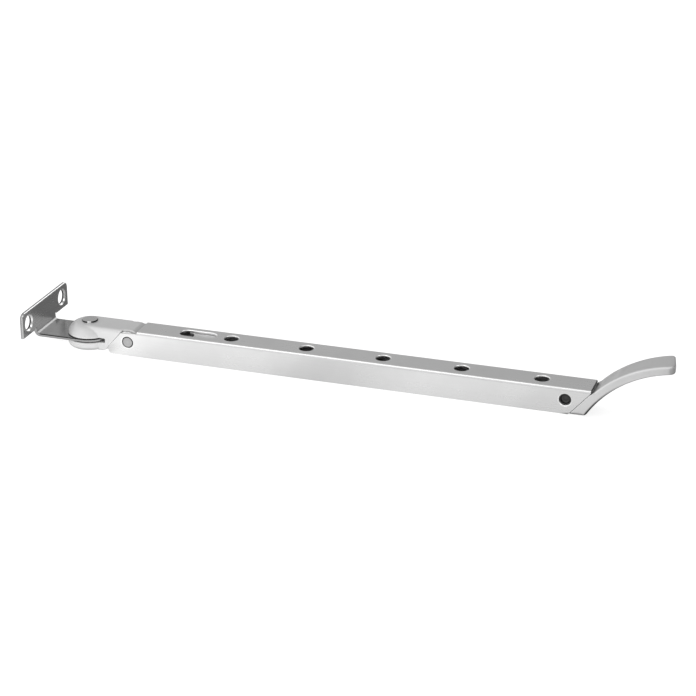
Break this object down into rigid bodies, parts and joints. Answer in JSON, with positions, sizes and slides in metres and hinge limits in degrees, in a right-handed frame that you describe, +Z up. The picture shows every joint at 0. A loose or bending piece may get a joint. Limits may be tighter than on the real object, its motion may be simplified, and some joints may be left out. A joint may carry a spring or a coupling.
{
  "type": "casement stay",
  "caption": "Casement stay: folded screw bracket, forked knuckle that swings, hollow bar with peg holes that lifts on a cross pin, and a curved tail handle.",
  "frame": {"origin": "on the back face of the bracket's plate, midway between the two screw holes", "axes": "+X from the plate along the bar, -Y the front side of the bar, +Z up"},
  "size_m": [0.3153, 0.05, 0.0305],
  "materials": {
    "bracket_steel": "dark plain sheet steel, satin, brighter along the fold and the cut edges",
    "cast_metal": "cast metal with a fine satin silver finish",
    "bar_metal": "satin silver tube with a fine lengthwise grain",
    "rivet_steel": "bright turned steel",
    "pin_steel": "plain drawn steel, dull on its ends",
    "insert_metal": "satin silver block"
  },
  "bodies": {
    "bracket": {"bracket": "bracket_steel"},
    "knuckle": {"knuckle": "cast_metal", "swivel_rivet": "rivet_steel"},
    "bar": {"stay_bar": "bar_metal", "slot_insert": "insert_metal", "tail_handle": "cast_metal", "tail_pin": "pin_steel", "lift_pin": "pin_steel"}
  },
  "joints": [
    {"name": "swing", "type": "hinge", "parent": "bracket", "child": "knuckle", "pos_m": [0.0255, 0, -0.00935], "axis": [0, 0, 1], "range_deg": [-90, 90]},
    {"name": "lift", "type": "hinge", "parent": "knuckle", "child": "bar", "pos_m": [0.0486, 0, -0.00855], "axis": [0, -1, 0], "range_deg": [0, 65]}
  ]
}
